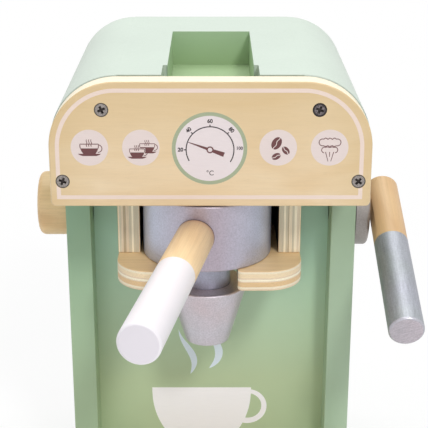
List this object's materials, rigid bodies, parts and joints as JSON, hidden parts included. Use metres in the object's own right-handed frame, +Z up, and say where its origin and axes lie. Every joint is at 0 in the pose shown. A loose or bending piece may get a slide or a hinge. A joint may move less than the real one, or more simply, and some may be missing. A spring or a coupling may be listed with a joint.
{
  "type": "toy coffee maker",
  "caption": "Wooden toy espresso machine: printed plywood control panel, open hopper in a round-shouldered roof, pull-out portafilter on a plywood ledge, turning knob and steam lever.",
  "frame": {"origin": "centre of the underside of the base board", "axes": "+X to the right as seen from the front, +Y to the rear, +Z up; the portafilter's handle points to the front, -Y"},
  "size_m": [0.2106, 0.2915, 0.275],
  "materials": {
    "green_paint": "satin pale green paint on board",
    "splash_paint": "satin pale green paint with a white print",
    "black_paint": "matt black paint",
    "panel_plywood": "clear-varnished birch plywood, printed",
    "plywood": "clear-varnished birch plywood",
    "plain_wood": "planed",
    "knob_wood": "clear-varnished beech",
    "handle_wood": "beech dowel, white paint on its outer part",
    "lever_wood": "beech dowel, silver paint on its front part",
    "silver_paint": "silver metallic paint on turned wood",
    "zinc_steel": "zinc-plated"
  },
  "bodies": {
    "case": {"base_board": "green_paint", "drip_grate": "plywood", "base_screws": "zinc_steel", "left_side": "green_paint", "right_side": "green_paint", "splash_board": "splash_paint", "rear_panel": "green_paint", "rear_cleats": "plain_wood", "rear_screws": "zinc_steel", "left_shoulder": "green_paint", "right_shoulder": "green_paint", "roof_board": "green_paint", "hopper_tray": "green_paint", "head_floor": "green_paint", "front_panel": "panel_plywood", "front_screws": "zinc_steel", "group_back": "black_paint", "left_cheek": "plywood", "right_cheek": "plywood", "group_ledge": "plywood", "ledge_screws": "zinc_steel"},
    "portafilter": {"portafilter_bowl": "silver_paint", "portafilter_neck": "silver_paint", "portafilter_spout": "silver_paint", "portafilter_handle": "handle_wood"},
    "knob": {"steam_knob": "knob_wood", "knob_axle": "plain_wood", "knob_washer": "zinc_steel", "knob_screw": "zinc_steel"},
    "lever": {"lever_hub": "silver_paint", "lever_handle": "lever_wood", "lever_axle": "plain_wood", "lever_washer": "zinc_steel", "lever_screw": "zinc_steel"}
  },
  "joints": [
    {"name": "portafilter_slide", "type": "slide", "parent": "case", "child": "portafilter", "axis": [0, -1, 0], "range_m": [0, 0.09]},
    {"name": "knob_turn", "type": "hinge", "parent": "case", "child": "knob", "pos_m": [-0.08225, 0.0015, 0.181], "axis": [1, 0, 0], "continuous": true},
    {"name": "lever_turn", "type": "hinge", "parent": "case", "child": "lever", "pos_m": [0.08225, 0.0015, 0.181], "axis": [1, 0, 0], "continuous": true}
  ]
}
